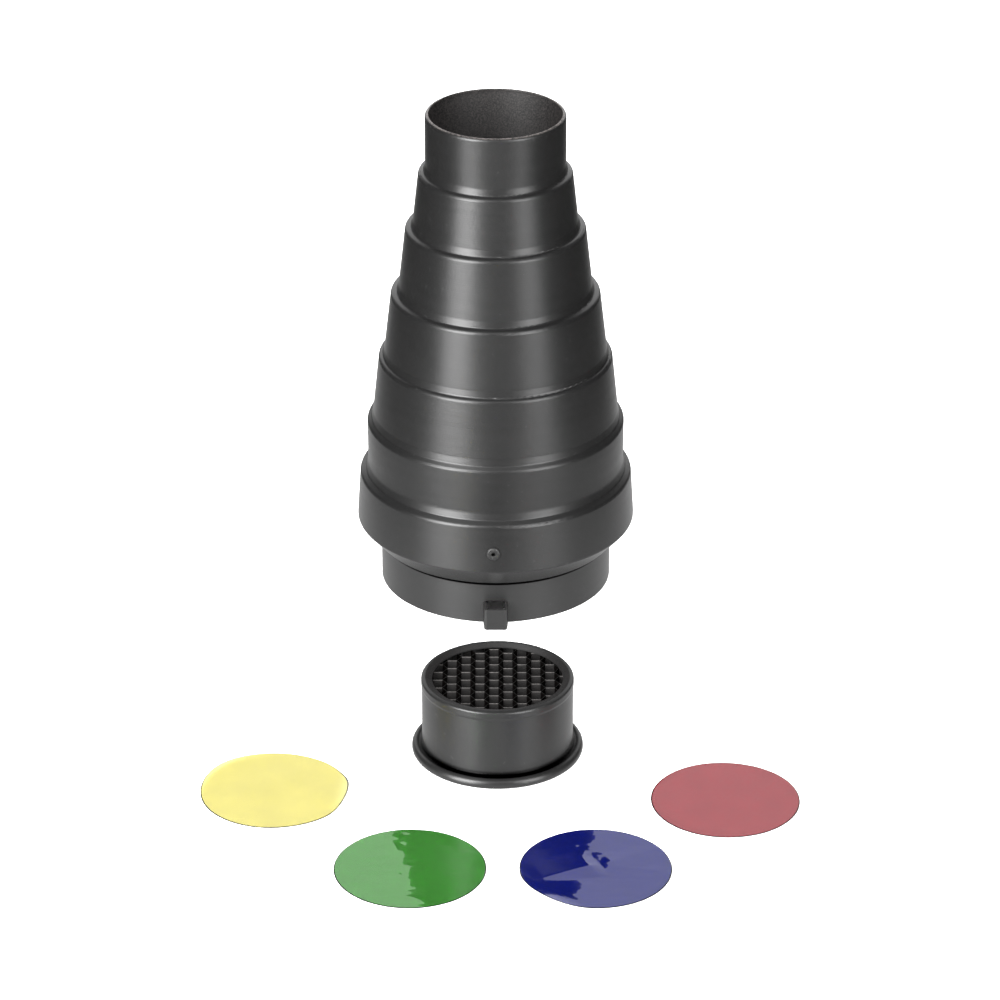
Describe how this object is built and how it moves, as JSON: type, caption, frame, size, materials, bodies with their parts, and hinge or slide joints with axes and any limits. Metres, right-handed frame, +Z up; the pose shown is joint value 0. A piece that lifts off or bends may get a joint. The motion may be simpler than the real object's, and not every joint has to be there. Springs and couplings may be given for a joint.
{
  "type": "snoot",
  "caption": "Stepped conical studio snoot with bayonet lugs on its mount ring, a push-on honeycomb grid cap and loose round colour gels.",
  "frame": {"origin": "on the snoot's axis, at the bottom edge of the mount ring, which is the surface that it stands on", "axes": "+Z up along the snoot's axis from the mount ring to the mouth, -Y towards the grid cap and gels laid in front, +X to the right seen from there"},
  "size_m": [0.282, 0.4045, 0.252],
  "materials": {
    "shell_paint": "satin black over spun aluminium",
    "ring_paint": "satin black over pressed steel",
    "rivet_paint": "black blind rivet",
    "stem_steel": "dark steel pin",
    "cap_paint": "satin black over spun aluminium",
    "spring_wire": "black spring steel",
    "black_foil": "black coated aluminium foil",
    "yellow_gel": "clear yellow film",
    "green_gel": "clear green film",
    "blue_gel": "clear blue film",
    "red_gel": "clear red film"
  },
  "bodies": {
    "snoot": {"snoot_shell": "shell_paint", "mount_ring": "ring_paint", "blind_rivets": "rivet_paint", "rivet_stems": "stem_steel"},
    "grid_cap": {"grid_cap": "cap_paint", "retaining_ring": "spring_wire", "foil_ribbon_01": "black_foil", "foil_ribbon_02": "black_foil", "foil_ribbon_03": "black_foil", "foil_ribbon_04": "black_foil", "foil_ribbon_05": "black_foil", "foil_ribbon_06": "black_foil", "foil_ribbon_07": "black_foil", "foil_ribbon_08": "black_foil", "foil_ribbon_09": "black_foil", "foil_ribbon_10": "black_foil", "foil_ribbon_11": "black_foil", "foil_ribbon_12": "black_foil", "foil_ribbon_13": "black_foil", "foil_ribbon_14": "black_foil", "foil_ribbon_15": "black_foil", "foil_ribbon_16": "black_foil", "foil_ribbon_17": "black_foil", "foil_ribbon_18": "black_foil"},
    "gel_yellow": {"gel_yellow": "yellow_gel"},
    "gel_green": {"gel_green": "green_gel"},
    "gel_blue": {"gel_blue": "blue_gel"},
    "gel_red": {"gel_red": "red_gel"}
  },
  "joints": [
    {"name": "cap_lift", "type": "slide", "parent": "snoot", "child": "grid_cap", "axis": [0, 0, 1], "range_m": [0, 0.26]},
    {"name": "yellow_lift", "type": "slide", "parent": "snoot", "child": "gel_yellow", "axis": [0, 0, 1], "range_m": [0, 0.26]},
    {"name": "green_lift", "type": "slide", "parent": "snoot", "child": "gel_green", "axis": [0, 0, 1], "range_m": [0, 0.26]},
    {"name": "blue_lift", "type": "slide", "parent": "snoot", "child": "gel_blue", "axis": [0, 0, 1], "range_m": [0, 0.26]},
    {"name": "red_lift", "type": "slide", "parent": "snoot", "child": "gel_red", "axis": [0, 0, 1], "range_m": [0, 0.26]}
  ]
}
